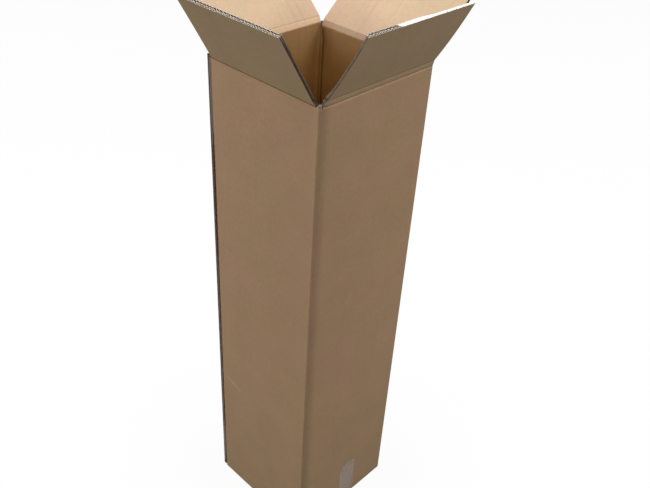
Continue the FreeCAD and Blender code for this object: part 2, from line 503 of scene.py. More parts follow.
def wall_swell(side, s, z):
    """How far a wall stands out: a half sine up the wall and across it, less the corner's ease."""
    low = wall_low(side)
    first, last = side.ends()
    across = np.cos(np.pi * (np.clip(s, first, last) - (first + last) / 2) / (last - first)) ** 2
    up = np.sin(np.pi * np.clip((z - low) / (wall_top() - low), 0, 1))
    uneven = 1 + 0.35 * ripple(z * 9 + s * 14, 40 + side.quarter)
    return board().wall_bulge * across * up * uneven - side.ease(s)


def corner_way(inner):
    """r, the way along an inside corner, of a point that lies a distance from the outer corner."""
    leg = board().corner_leg
    away = inner - thickness() - leg
    return leg / math.sqrt(2) + np.where(away > 0, away, away * math.sqrt(2))


def corner_groove(r):
    """Depth of the groove that the scoring rule has pressed beside an inside corner's facet."""
    return bells(r, (0.0010, -0.0056, 0.0012))


def corner_painted_light(r):
    """Painted shade in an inside corner and in its pressed groove, and a painted highlight beside them:
    three bells of r.
    """
    return bells(r, (0.30, 0.0062, 0.0030), (-0.50, 0.0004, 0.0020), (-0.9, -0.0051, 0.0017))


def corner_path(side, after):
    """Outer and inner plan points round the corner between two sides, their painted shade and
    highlight, and lengths.

    The outer path runs straight for a while, turns sharply and then evenly:
    it adds up steps along the turning direction and is scaled to end on the
    next side. The inner path lies on the corner's flat inside facet, with a
    groove that the scoring rule has pressed in; r is the way along it. By the
    top it has become a square corner, whose points are given as well.
    """
    steps, fine_steps, straight_step = 22, 40, 0.0015
    straight, angle = (0.0068, 72) if after.name == "right" else (0.0095, 75)
    t = thickness()
    start = side.ends()[1]
    low = after.ends()[0]
    lead = max(side.half - straight - start, 0.0)
    before = round(lead / straight_step)
    fine = np.linspace(0, 1, steps * fine_steps + 1)
    turn = 0.42 * rise(fine, 0.03, 0.07) + 0.58 * np.clip((fine - 0.1) / 0.9, 0, 1)
    turn = math.radians(angle) * turn[:-1]
    along, inwards = (
        np.concatenate([[0], np.cumsum(part)])[::fine_steps] for part in (np.cos(turn), np.sin(turn)))
    s = start + lead + (side.half - after.ease(low) - start - lead) * along / along[-1]
    s = np.concatenate([start + lead * np.linspace(0, 1, before + 1)[:-1], s])
    inwards = np.concatenate([np.zeros(before), inwards / inwards[-1]])
    outer = side.place(s, -(after.half + low) * inwards, 0.0)[:, :2]
    lengths = lengths_along(outer)
    share = lengths / lengths[-1]

    first = -corner_way(side.half - side.inner_line(start, 0.0)[0])
    final = corner_way(after.half + after.inner_line(low, 0.0)[0])
    r = first + (final - first) * share
    half = board().corner_leg / math.sqrt(2)
    flat = np.clip(np.abs(r) - half, 0, 1)
    on = np.clip(r, -half, half) / math.sqrt(2)
    middle = t + board().corner_leg / 2 - corner_groove(r) / math.sqrt(2)
    from_after = middle - on + flat * (r < 0)
    from_side = middle + on + flat * (r > 0)
    inner = side.place(side.half - from_after, -from_side, 0.0)[:, :2]

    first = side.inner_line(start, INNER_CREASE)[0] - side.half + t
    final = after.inner_line(low, INNER_CREASE)[0] + after.half - t
    r_top = first + (final - first) * share
    top = side.place(side.half - t - np.maximum(-r_top, 0), -t - np.maximum(r_top, 0), 0.0)[:, :2]
    return outer[1:-1], inner[1:-1], top[1:-1], corner_painted_light(r)[1:-1, None], lengths


def joint_path(side):
    """Outer and inner plan points from the tab's free end to the front wall.

    The tab lies inside the left wall, and its fold is a quarter circle outside.
    """
    t = thickness()
    radius, gap = 0.006, 0.0001
    back = np.linspace(board().tab_length, t + 0.002, TAB_COLUMNS)
    turn = np.linspace(0, np.pi / 2, FOLD_COLUMNS)
    face = -side.half + t + gap
    outer_s = np.concatenate([np.full(TAB_COLUMNS, face), face + radius * (1 - np.cos(turn))])
    outer_d = np.concatenate([back, radius * (1 - np.sin(turn))])
    inner_d = np.concatenate([back, np.full(FOLD_COLUMNS, t)])
    return side.place(outer_s, -outer_d, 0.0)[:, :2], side.place(face + t, -inner_d, 0.0)[:, :2]


def joint_shade(share):
    """How dark the gap beside the left panel's cut edge is, in every row.

    It is darkest in two stretches, uneven along them, and fades with the share
    of the way round the tab's fold.
    """
    z = np.concatenate([np.zeros(BELOW), wall_top() * WALL_SHARE,
                        np.full(len(LAST_SHARE), INNER_CREASE)])
    brown = np.maximum(rise(z, 0.627, 0.01) * rise(z, 0.870, -0.01),
                       rise(z, 0.135, 0.01) * rise(z, 0.24, -0.03))
    deep = 0.55 + 0.45 * brown + 0.15 * ripple(z * 40, 12) - 0.12 * rise(z, 0.13, -0.02)
    return -np.clip(deep, 0, 1) * (1 - 0.9 * rise(share, 0.76, 0.24))


def upright_columns(outer_xy, inner_xy, top_xy, low, high, end):
    """Columns of the wall alone: the outer and inner points of every row.

    Each rises from its low to its high as the wall does, and on to its end.
    The rows under the wall stay on the low end.
    """
    low, high, end = (np.broadcast_to(part, len(outer_xy))[:, None] for part in (low, high, end))
    z = np.concatenate([np.repeat(low, BELOW, 1), low + (high - low) * WALL_SHARE,
                        high + (end - high) * LAST_SHARE], 1)[..., None]
    outer_xy, inner_xy, top_xy = outer_xy[:, None], inner_xy[:, None], top_xy[:, None]
    inner_xy = inner_xy + (top_xy - inner_xy) * tight(z)
    return (np.concatenate([np.repeat(outer_xy, ROWS, 1), z], -1),
            np.concatenate([inner_xy, z], -1))


def tab_columns():
    """The glued tab with its slanting ends, and its fold."""
    short = 0.0005
    outer, inner = joint_path(FRONT)
    taper = np.concatenate([0.004 + 0.014 * np.linspace(1, 0, TAB_COLUMNS), np.zeros(FOLD_COLUMNS)])
    grids = upright_columns(outer, inner, inner, thickness() + 2 * taper, wall_top() - taper,
                            INNER_CREASE - short)
    kinds = ["tab"] * TAB_COLUMNS + ["corner"] * (FOLD_COLUMNS - 1) + ["fold"]
    shade = joint_shade(np.linspace(0, 1, FOLD_COLUMNS)[:, None])
    painted_light_marks = np.concatenate([np.zeros((TAB_COLUMNS, ROWS)), shade])
    return (*grids, lengths_along(outer), kinds, painted_light_marks, np.zeros(painted_light_marks.shape))


def corner_columns(side, after, u):
    """The corner between two sides, and its length round the outside.

    Its foot dips to one thickness of board, by a half sine. The near corner's
    top is lower beside the front wall.
    """
    near_drop = 0.0055
    outer, inner, tops, painted_light_marks, lengths = corner_path(side, after)
    share = lengths[1:-1] / lengths[-1]
    foot = wall_low(side) + (wall_low(after) - wall_low(side)) * share
    foot += (thickness() - (wall_low(side) + wall_low(after)) / 2) * np.sin(np.pi * share)
    drop = near_drop * (1 - rise(share, 0.25, 0.3)) * (side.name == "front")
    grids = upright_columns(outer, inner, tops, foot, wall_top(),
                            INNER_CREASE + board().corner_top - drop)
    kinds = ["corner"] * len(outer)
    blank = np.zeros((len(outer), ROWS))
    return (*grids, u + lengths[1:-1], kinds, blank, blank + painted_light_marks), lengths[-1]


def panel_columns(side, start):
    """A wall with its bottom fold, a quarter circle, and its bottom flap."""
    b = board()
    t = thickness()
    low, top = wall_low(side), wall_top()
    s = side.samples()[:, None]
    fluted = (side.name == "left") & (s[:, 0] > side.half - b.joint_setback - b.open_length)
    kinds = np.where(fluted, "fluted", "panel")

    def every_row(below, wall):
        """The rows below the wall and the wall's rows, in one grid."""
        return np.concatenate([np.broadcast_to(below, (len(s), BELOW)),
                               np.broadcast_to(wall, (len(s), ROWS - BELOW))], 1)

    z = np.concatenate([low + (top - low) * WALL_SHARE,
                        top + (INNER_CREASE + b.corner_top - top) * LAST_SHARE])
    swell = wall_swell(side, s, z)
    s_in, depth = side.inner_line(s, z)
    across = side.inner_line(s, 0.0)[0]
    r = np.where(s < 0, corner_way(across + side.half), -corner_way(side.half - across))
    beside = {"front": s > 0, "left": s < 0}.get(side.name, True)
    depth = depth - corner_groove(r) * beside * (1 - tight(z))

    first, last = side.ends()
    low_first, low_last = side.ends("bottom")
    s_low = low_first + (s - first) * (low_last - low_first) / (last - first)
    turn = np.concatenate([np.zeros(len(FLAP_SHARE)), FOLD_TURN])
    far = side.reach - b.seam_gap / 2 - b.open_length - b.bottom_fold
    along = np.concatenate([far * FLAP_SHARE, np.zeros(len(FOLD_TURN))])
    s_below = s_low + (s - s_low) * smooth(turn / turn[-1])

    def below(radius):
        """How far out and how high the rows below lie, for a face at a radius of the fold."""
        return -b.bottom_fold - along + radius * np.sin(turn), low - radius * np.cos(turn)

    square = rise(z, low, 0.02)
    inside = (np.maximum(swell, 0) - depth + t) * square - t
    out, up = below(b.bottom_fold)
    outer = side.place(every_row(s_below, s), every_row(out, swell), every_row(up, z))
    out, up = below(b.bottom_fold - t)
    inner = side.place(every_row(s_below, s + (s_in - s) * square), every_row(out, inside),
                       every_row(up, z))
    # Painted shade and highlight beside the inside corners.
    painted_light_marks = every_row(0.0, corner_painted_light(r) * beside)
    return outer, inner, start + s[:, 0], kinds, np.zeros(painted_light_marks.shape), painted_light_marks


def blank_sheets():
    """The blank from the glued tab round to the left panel, with its bottom flaps.

    Columns run round the box and rows run up it: the bottom flap, the bottom
    fold, the wall, and the corners' last rows. Each row's height is a share of
    the way from a column's own low end to its high end. The cells of the
    slots, and those that show their flutes, are left out. Outside, a line of
    painted shade and a painted highlight under it run round the corners, level
    with the lower creases.
    """
    blocks = [tab_columns()]
    u = blocks[0][2][-1]
    starts = {}
    for side, after in zip(SIDES, SIDES[1:] + [None]):
        low, high = side.ends()
        starts[side.name] = u - low
        blocks.append(panel_columns(side, u - low))
        u += high - low
        if after is not None:
            columns, length = corner_columns(side, after, u)
            blocks.append(columns)
            u += length
    outer, inner, flat_u, kinds, outer_painted_light, inner_painted_light = (
        np.concatenate(parts) for parts in zip(*blocks))

    def at(kind):
        """The columns of cells that have a kind on either side."""
        return (kinds[:-1] == kind) | (kinds[1:] == kind)

    keep = np.ones((len(kinds) - 1, ROWS - 1), bool)
    keep[at("tab") | at("corner") | at("fold"), :BELOW] = False
    keep[~at("corner") | at("tab"), WALL_END - 1:] = False
    keep[at("fluted") & ~at("corner"), BELOW:] = False
    z = outer[..., 2]
    flat_v = z.copy()
    flat_v[:, :len(FLAP_SHARE)] -= FLAP_SHARE * FLAP_ON_BLANK
    # Painted shade at the lower creases and a painted highlight just under it, round the corners.
    line = bells(z, (-0.35, INNER_CREASE, 0.0008), (0.5, INNER_CREASE - 0.0022, 0.0010))
    return [slab(outer, inner, points_of(flat_u[:, None], flat_v), keep=keep,
                 painted_light_marks=(outer_painted_light + line, inner_painted_light))], starts


def joint_edge_sheets(uv_start):
    """The left panel's cut edge at the glued joint, with its flutes showing.

    A skin of crushed paper covers a band of the edge: its depths are parts of
    the board's, uneven along it, less in one stretch and more above that.
    """
    thick = 0.001
    b = board()
    end = LEFT.half - b.joint_setback
    slot = LEFT.ends()[1]
    slot_top = LEFT.ends("flap")[1]
    samples = LEFT.samples()
    first = samples[samples > end - b.open_length].min()

    def place(s, v, d):
        """A point of the left wall; v runs from 0 at its foot to 1 at its top."""
        beyond = rise(s, slot - 0.001, 0.002)
        bottom = wall_low(LEFT) + (thickness() - wall_low(LEFT)) * beyond
        high = wall_top() + (INNER_CREASE + b.corner_top - wall_top()) * (s > slot_top)
        z = bottom + (high - bottom) * v
        return LEFT.place(s, wall_swell(LEFT, np.minimum(s, slot), z) - d, z)

    sheets = fluted_sheets(place, (first, end), (0.0, 1.0), uv_start, steps=60, seed=70,
                           drift=0.0045)
    v, w = grid_of(np.linspace(0.01, 0.993, 161), np.linspace(0, 1, 4))
    upper = 0.95 - 0.45 * rise(v, 0.61, 0.01) * rise(v, 0.845, -0.01) + 0.32 * rise(v, 0.855, 0.01)
    upper += 0.06 * ripple(v * 160, 31) - 0.10 * rise(v, 0.61, -0.01)
    lower = 0.09 + 0.06 * ripple(v * 190, 32)
    d = thickness() * (lower + (upper - lower) * w)
    s = end - 0.0007 + 0.0003 * ripple(v * 220 + w * 5, 33)
    return sheets + [skin(place, s, v, d, (-thick, 0.0), points_of(uv_start + s, v), CUT)]


def bottom_end_sheets(side, uv_start):
    """The last stretch of a bottom flap, with its flutes open at the seam."""
    b = board()
    level = wall_low(side) - b.bottom_fold
    far = side.reach - b.seam_gap / 2

    def place(s, v, d):
        """A point of the flat flap; v is how far in it lies from the wall's face."""
        return side.place(s, -v, level + d)

    return fluted_sheets(place, side.ends("bottom"), (far - b.open_length, far), uv_start,
                         steps=3, seed=80 + 7 * side.quarter)


# ---------------------------------------------------------------- the flaps

def flap_bow(side, s, v, length):
    """How far a flap's middle surface lies inwards from flat.

    A bow along the flutes, a v (length - v) arch, and a twist that grows
    with s and v.
    """
    arch, twist = {
        "front": (0.0004, 0.0004), "right": (-0.0018, -0.00005),
        "back": (0.0004, 0.0004), "left": (-0.0008, -0.0001),
    }[side.name]
    share = np.clip((v - board().crease_zone) / (length - board().crease_zone), 0, 1)
    return 4 * arch * share * (1 - share) + twist * share ** 2 * (1 + s / side.half)


def flap_place(side, length):
    """The function that puts a flap's (s, v, d) into the row frame.

    From the crease the flap runs up and out at its lean: out is v sin(lean)
    less the depth times cos(lean), and up is v cos(lean) plus the depth
    times sin(lean). The right flap's board is crushed thinner at its free end
    and along its near side, by smooth steps of s and v.
    """
    b = board()
    sine, cosine = math.sin(side.lean), math.cos(side.lean)
    skew = b.skew * (1 if side.quarter % 2 else -1)

    def place(s, v, d):
        """A point of the flap in the row frame."""
        at_end = 0.36 * rise(v, length - 0.008, 0.007) * rise(s, -0.03, 0.09)
        at_side = 0.32 * rise(s, side.ends("flap")[0] + 0.007, -0.006) * rise(v, 0.010, 0.015)
        crushed = np.maximum(at_end, at_side) * (side.name == "right")
        deep = d * (1 - crushed) + flap_bow(side, s, v, length)
        along = s + (skew - b.taper * s / side.half) * (v - b.crease_zone) / length
        return side.place(along, v * sine - deep * cosine, side.crease + v * cosine + deep * sine)

    return place


def frayed_highlight_sheet(side, place, length, uv_start):
    """A flap's frayed end, where the knife has crushed the flutes shut, painted near white as a
    highlight of strong light on it.
    """
    start, thick = -0.061, 0.0012
    s, w = grid_of(np.linspace(start, side.ends("flap")[1], 90), np.linspace(0, 1, 4))
    shut = 0.04 + 0.96 * smooth((s - start) / 0.010 + 0.3 * ripple(s * 900, 21))
    v = length + 0.00015 * ripple(s * 1100, 22)
    d = thickness() * (1 - shut * (1 - w))
    return skin(place, s, v, d, (0.0, -thick), points_of(uv_start + s, side.crease + v), PAINTED_HIGHLIGHT)


def curled_side(side, place, length, uv_start):
    """The inner liner that the slotting knife has curled over part of a flap's near side."""
    thick, margin = 0.001, 0.001
    low, high = side.ends("flap")
    edge, inwards, first = (low, 1, 0.24) if side.name == "right" else (high, -1, 0.76)
    v, w = grid_of(np.linspace(board().crease_zone + margin, length - margin, 70),
                   np.linspace(0, 1, 4))
    start = first + 0.05 * ripple(v * 260, 23)
    d = thickness() * (start + (0.99 + 0.01 * ripple(v * 400, 24) - start) * w)
    s = edge + inwards * (0.0004 + 0.0002 * ripple(v * 500 + 7 * w, 25))
    uv = points_of(uv_start + s, side.crease + v)
    return skin(place, s, v, d, (inwards * thick, 0.0), uv, INNER)


def score_samples(low, high, scores):
    """Places from low to high, close together where a score is pressed in."""
    reach, near_places, far_places = 0.0022, 24 // len(scores), 13
    near = [score + np.linspace(-reach, reach, near_places) for score in scores]
    places = np.concatenate(near + [np.linspace(low, high, far_places)])
    places = np.sort(np.clip(places, low, high))
    return places + np.linspace(0, 1e-6, len(places))


def crease_profile(side):
    """Outer and inner (out, up) points of a top crease, from the wall to the flap.

    Both are bent lines: the wall, a short chord across the bend, and the
    flap, with grooves where the scores are pressed in. The outer flaps have a
    wide chord on both faces, with a ridge under the lower score that carries a
    painted highlight; the inner flaps have one on the inside only. Also gives
    each line's places and its painted shade and highlights. Grooves, ridge and
    painted light are bells of the way along the line.
    """
    b = board()
    t = thickness()
    wide = side.crease == OUTER_CREASE
    sine, cosine = math.sin(side.lean), math.cos(side.lean)
    below = side.crease - wall_top()
    above = b.crease_zone

    def bent(place, turn, half, deep, pressed):
        """Points at distances from the bend, cutting its corner by half a chord.

        They are moved square to the bend, into the board where pressed is
        above 0.
        """
        share = (np.clip(place, -half, half) + half) / (2 * half)
        v = np.where(place > half, place, half * share)
        out = -deep + sine * np.where(place > -half, v, 0.0)
        up = turn + np.where(place > -half, -half * (1 - share) + cosine * v, place)
        middle = side.lean / 2
        return out - pressed * math.cos(middle), up + pressed * math.sin(middle)

    half = b.score_spread if wide else 0.0006
    scores = [-half, half] if wide else [0.0]
    line = score_samples(-below, above, scores)
    if wide:
        dent = bells(line, (0.0005, half, 0.0007), (0.0005, 0.0012 - half, 0.0012),
                     (-0.00045, -half - 0.0011, 0.0010))
        # Painted shade at the two scores and painted highlights beside them.
        mark = bells(line, (0.75, -half - 0.0013, 0.0013), (-0.75, half, 0.0010),
                     (0.4, half - 0.0026, 0.0012), (-0.45, 0.0018 - half, 0.0014))
    else:
        dent = bells(line, (0.0005, 0.0, 0.0007), (-0.00035, -0.0019, 0.0010))
        # Painted shade at the score and a faint painted highlight under it.
        mark = bells(line, (0.15, -0.0023, 0.0009), (-1.0, 0.0, 0.0011))
    outer = bent(line, 0.0, half, 0.0, dent)

    half_in = b.score_spread * 0.9
    raised = t * math.tan(side.lean / 2)
    line_in = score_samples(-below - raised, above + raised, [-half_in, half_in])
    dent_in = bells(line_in, (-0.0004, -half_in, 0.0006), (-0.0004, half_in, 0.0006))
    inner = bent(line_in, raised, half_in, t, dent_in)
    between = np.abs(line_in) < half_in
    if wide:
        # Painted highlight on the band between the inner scores, painted shade just above it.
        painted_light_in = 0.85 * between + bells(line_in, (-0.22, half_in + 0.001, 0.0012))
    else:
        # Painted shade on the inner scores and the band between them.
        painted_light_in = bells(line_in, (-0.35, -half_in, 0.0007), (-0.35, half_in, 0.0007)) - 0.12 * between
    return outer, inner, line - scores[0], line_in + half_in, mark, painted_light_in


def crease_piece(side, uv_start, materials):
    """The crushed board of one top crease."""
    (out, up), (out_in, up_in), line, line_in, mark, painted_light_in = crease_profile(side)
    foot, base = side.samples("crease")[:, None], side.samples("flap")[:, None]
    fade = 1 - smooth(np.linspace(0, 1, len(line)))
    s = base + (foot - base) * fade
    s_in, depth = side.inner_line(foot, INNER_CREASE)
    s_in = s + (s_in - foot) * fade
    uv = tuple(points_of(uv_start + s, INNER_CREASE + part) for part in (line, line_in))
    sheet = slab(side.place(s, out - side.ease(foot) * fade, side.crease + up),
                 side.place(s_in, out_in - (depth - thickness()) * fade, side.crease + up_in),
                 uv, painted_light_marks=(mark, painted_light_in))
    thing = piece("crease_" + side.name, [sheet], materials, sharp=60)
    narrow = 0.004
    bend = board().score_spread if side.crease == OUTER_CREASE else narrow
    start = side.place(0.0, 0.0, side.crease - bend)
    end = side.place(0.0, bend * math.sin(side.lean), side.crease + bend * math.cos(side.lean))
    tuple(start)
    tuple(end)
    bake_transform(thing)


def flap_piece(side, uv_start, materials):
    """One top flap beyond its crease."""
    b = board()
    cut_short = 0.0008
    length = side.reach - b.seam_gap / 2 - cut_short
    place = flap_place(side, length)
    crest = {
        "front": (side.ends()[1] - 0.0003, 0.25), "right": (side.ends("flap")[0], 0.0),
    }.get(side.name)
    drift = 0.01 if crest is None else 0.002
    sheets = fluted_sheets(place, side.ends("flap"), (b.crease_zone, length), uv_start,
                           steps=14, seed=100 + 9 * side.quarter, drift=drift, crest=crest)
    for sheet in sheets:
        sheet[3][:, 1] += side.crease
    if side.name == "right":
        sheets.append(frayed_highlight_sheet(side, place, length, uv_start))
    if side.name in ("front", "right"):
        sheets.append(curled_side(side, place, length, uv_start))
    thing = piece("board_flap_" + side.name, sheets, materials)
    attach(thing, side.body)
    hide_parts("flap_" + side.name)


# ---------------------------------------------------------------- the tape

def tape_line(lift):
    """The tape's line under the box and up its right wall, as (x, z) points.

    It leaves the outer bottom flaps' end, runs straight to the right wall's
    round bottom fold, follows it and then climbs the wall, all raised by lift.
    """
    r = board().bottom_fold
    centre = np.array([RIGHT.reach - r, wall_low(RIGHT)])
    bend = np.array([FRONT.half - 0.011, 0.0])
    away = centre - bend
    climb = math.atan2(away[1], away[0]) - math.asin(r / math.hypot(*away))
    turns = np.linspace(climb, np.pi / 2, 10)
    arc = centre + (r + lift) * np.column_stack([np.sin(turns), -np.cos(turns)])
    corner = bend + lift * np.array([math.tan(climb / 2), -1])
    return np.concatenate([[corner], arc])


def tape_piece(material):
    """The strip of clear tape: a thin sheet carried along its line.

    Its ends are cut: toothed on the left wall, torn and slanting on the right.
    On the walls it follows their swell, with small wrinkles.
    """
    threads, climb_rows, under_points = 61, 24, 14
    thick, clearance, ragged = 0.00008, 0.00012, 0.0006
    tear_places, tear_heights = [0.0, 0.15, 0.56, 1.0], [0.0, 0.0065, 0.014, 0.0065]
    low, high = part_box("bottom_tape")
    settings = bpy.context.scene.box_tape
    across = np.linspace(0, 1, threads)
    y = (low.y + (high.y - low.y) * across)[:, None]
    tear = np.interp(across, tear_places, tear_heights)[:, None]
    end_right = high.z - tear.max() + tear + ragged * (ripple(y * 1500, 5) - 1)
    tooth = settings.serration * (2 * np.abs((y / settings.tooth) % 1 - 0.5) - 1)
    end_left = high.z - tear.max() + tooth
    up = np.linspace(0, 1, climb_rows + 1)[1:]
    grids = []
    for lift in (thick, 0.0):
        line = tape_line(lift)
        turned = line[::-1] * [-1, 1]
        under = np.linspace(turned[-1], line[0], under_points)[1:-1]
        middle = np.concatenate([turned, under, line])
        side_x, base = line[-1]
        x = np.concatenate([np.full(climb_rows, -side_x), middle[:, 0], np.full(climb_rows, side_x)])
        z = np.concatenate([(base + (end_left - base) * up)[:, ::-1],
                            np.tile(middle[:, 1], (threads, 1)),
                            base + (end_right - base) * up], 1)
        grids.append(points_of(x, y, z))
    outer, inner = grids
    z = outer[..., 2]
    climbing = rise(z, 0.03, 0.02)
    wrinkle = np.abs(0.00006 * ripple(z * 260 + y * 90, 9))
    away = (clearance + wrinkle + wall_swell(RIGHT, y, z)) * climbing
    for grid in grids:
        grid[..., 0] += np.sign(grid[..., 0]) * away
    uv = points_of(y, lengths_along(outer[0]))
    thing = piece("clear_tape", [slab(outer, inner, uv, places=(0, 0, 0))], [material])
    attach(thing, "box")
    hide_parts("bottom_tape")


# ---------------------------------------------------------------- materials

class Nodes:
    """A short way to add and join a node tree's nodes."""

    def __init__(self, tree):
        self.tree = tree

    def add(self, kind, values=None, **settings):
        """A node with its settings and its inputs' values or links."""
        node = self.tree.nodes.new(kind)
        for key, value in settings.items():
            setattr(node, key, value)
        for key, value in (values or {}).items():
            self.put(value, node.inputs[key])
        return node

    def put(self, value, socket):
        """Link a socket, or set its value."""
        if isinstance(value, bpy.types.NodeSocket):
            self.tree.links.new(value, socket)
        else:
            socket.default_value = value

    def math(self, operation, a, b=0.0, c=0.0):
        """The result of one sum."""
        return self.add("ShaderNodeMath", {0: a, 1: b, 2: c}, operation=operation).outputs[0]

    def line(self, value, rise, start):
        """value times rise plus start."""
        return self.math("MULTIPLY_ADD", value, rise, start)

    def noise(self, vector, scale, detail=2.0, rough=0.5):
        """A noise value from 0 to 1."""
        values = {"Vector": vector, "Scale": scale, "Detail": detail, "Roughness": rough}
        return self.add("ShaderNodeTexNoise", values).outputs["Fac"]

    def fibres(self, vector, scale, detail=2.0, rough=0.5):
        """The same noise with each axis scaled by itself."""
        mapping = self.add("ShaderNodeMapping", {"Vector": vector, "Scale": (*scale, 1.0)})
        return self.noise(mapping.outputs["Vector"], 1.0, detail, rough)

    def blank(self):
        """The blank's flat map."""
        return self.add("ShaderNodeUVMap", uv_map="blank").outputs[0]

    def parts(self, vector):
        """The x, y and z of a vector."""
        return self.add("ShaderNodeSeparateXYZ", {0: vector}).outputs

    def mark(self, name):
        """A value that the mesh holds under a name."""
        return self.add("ShaderNodeAttribute", attribute_name=name).outputs["Fac"]

    def share(self, value, low, high):
        """How far a value has come from low to high, held between 0 and 1."""
        values = {"Value": value, "From Min": low, "From Max": high}
        return self.add("ShaderNodeMapRange", values).outputs[0]

    def scaled(self, colour, light):
        """A colour times a brightness."""
        values = {0: colour, "Scale": light}
        return self.add("ShaderNodeVectorMath", values, operation="SCALE").outputs[0]

    def mix(self, factor, a, b, blend="MIX"):
        """Colour b laid over colour a."""
        values = {"Factor": factor, "A": a, "B": b}
        node = self.add("ShaderNodeMix", values, data_type="RGBA", blend_type=blend)
        return node.outputs["Result"]

    def bump(self, strength, distance, height):
        """The normals of a bumpy surface."""
        values = {"Strength": strength, "Distance": distance, "Height": height}
        return self.add("ShaderNodeBump", values).outputs[0]


def paper_group():
    """Kraft paper: clouds, crosswise fibres, dark and pale flecks and the flutes' washboard.

    The washboard is the sine of the way across a flute, strong in some
    stretches; it bumps the normals and also paints its own shade and highlight
    into the tone. The mesh's 'score' value is painted light: above 0 a painted
    highlight brightens the paper, below 0 painted shade darkens it.
    """
    name = "Kraft paper"
    if name in bpy.data.node_groups:
        return bpy.data.node_groups[name]
    tree = bpy.data.node_groups.new(name, "ShaderNodeTree")
    inputs = {"Colour": (0.5, 0.4, 0.3, 1.0), "Pitch": 0.0062, "Washboard": 0.3, "Flecks": 0.5,
              "Streaks": 0.1}
    for key, default in inputs.items():
        kind = "NodeSocketFloat" if isinstance(default, float) else "NodeSocketColor"
        socket = tree.interface.new_socket(name=key, in_out="INPUT", socket_type=kind)
        socket.default_value = default
    for key, kind in (("Colour", "Color"), ("Roughness", "Float"), ("Normal", "Vector")):
        tree.interface.new_socket(name=key, in_out="OUTPUT", socket_type="NodeSocket" + kind)
    n = Nodes(tree)
    put_in = n.add("NodeGroupInput").outputs
    flat = n.blank()
    cloud = n.noise(flat, 14.0, 3.0)
    fibre = n.fibres(flat, (350.0, 2200.0), 3.0, 0.6)
    fleck = n.fibres(flat, (900.0, 2600.0), 1.0)
    turn = n.math("MULTIPLY", n.math("DIVIDE", n.parts(flat)[0], put_in["Pitch"]), 2 * math.pi)
    ridge = n.math("MULTIPLY", n.math("SINE", turn), put_in["Washboard"])
    ridge = n.math("MULTIPLY", ridge, n.line(n.fibres(flat, (30.0, 5.0)), 2.0, -0.3))
    mottle = n.noise(flat, 130.0, 3.0, 0.7)
    streak = n.math("MAXIMUM", n.math("SUBTRACT", n.fibres(flat, (95.0, 3.0)), 0.56), 0.0)
    light = n.line(cloud, 0.16, 0.92)
    light = n.math("SUBTRACT", light, n.math("MULTIPLY", streak, put_in["Streaks"]))
    light = n.math("ADD", light, n.line(mottle, 0.22, -0.11))
    light = n.math("ADD", light, n.line(fibre, 0.14, -0.07))
    # Painted shade and highlight of the washboard ridges, on top of their bump.
    light = n.math("ADD", light, n.math("MULTIPLY", ridge, 0.025))
    # Painted highlight: a 'score' value above 0 brightens the tone.
    score = n.mark("score")
    light = n.math("MULTIPLY", light, n.line(n.math("MAXIMUM", score, 0.0), 0.40, 1.0))
    change = n.math("SUBTRACT", n.math("LESS_THAN", fleck, 0.31), n.math("GREATER_THAN", fleck, 0.70))
    light = n.math("ADD", light, n.math("MULTIPLY", change, n.math("MULTIPLY", put_in["Flecks"], 0.12)))
    shade = n.scaled(put_in["Colour"], light)
    warm = n.share(n.noise(flat, 9.0, 3.0, 0.6), 0.36, 0.64)
    tint = n.mix(warm, (0.965, 1.010, 0.960, 1), (1.028, 0.990, 1.040, 1))
    shade = n.mix(1.0, shade, tint, "MULTIPLY")
    # Painted shade: a 'score' value below 0 darkens the colour towards brown.
    pressed = n.math("MAXIMUM", n.math("MULTIPLY", score, -1.0), 0.0)
    height = n.math("ADD", n.math("MULTIPLY", ridge, 0.35), n.math("MULTIPLY", fibre, 0.12))
    n.add("NodeGroupOutput", {
        "Colour": n.mix(pressed, shade, (0.3, 0.2, 0.15, 1), "MULTIPLY"),
        "Roughness": n.line(fibre, 0.18, 0.72),
        "Normal": n.bump(0.6, 0.00012, height),
    })
    return tree


def new_material(name, colour, gloss, cover=1.0):
    """A new material, its nodes and its shader's inputs."""
    material = bpy.data.materials.new(name)
    material.use_nodes = True
    material.diffuse_color = (*colour, cover)
    shader = material.node_tree.nodes["Principled BSDF"].inputs
    shader["Specular IOR Level"].default_value = gloss
    return material, Nodes(material.node_tree), shader


def paper_material(name, colour, pitch, washboard, flecks, streaks=0.05):
    """A paper finish on the kraft group; gives its nodes, the group's node and the shader's inputs."""
    _, n, shader = new_material(name, colour, 0.25)
    values = {"Colour": (*colour, 1.0), "Pitch": pitch, "Washboard": washboard, "Flecks": flecks,
              "Streaks": streaks}
    paper = n.add("ShaderNodeGroup", node_tree=paper_group())
    for key, value in values.items():
        n.put(value, paper.inputs[key])
    for key, target in (("Colour", "Base Color"), ("Roughness", "Roughness"), ("Normal", "Normal")):
        n.put(paper.outputs[key], shader[target])
    return n, paper, shader


def shade_by_height(n, paper, steps):
    """Colour a paper by its height up the blank: (from, to, lower colour) steps, lowest first.

    Each step's colour lasts up to its from and blends into the next by its to.
    """
    height = n.parts(n.blank())[1]
    shade = tuple(paper.inputs["Colour"].default_value)
    for low, high, colour in reversed(steps):
        shade = n.mix(n.share(height, low, high), (*colour, 1.0), shade)
    n.put(shade, paper.inputs["Colour"])


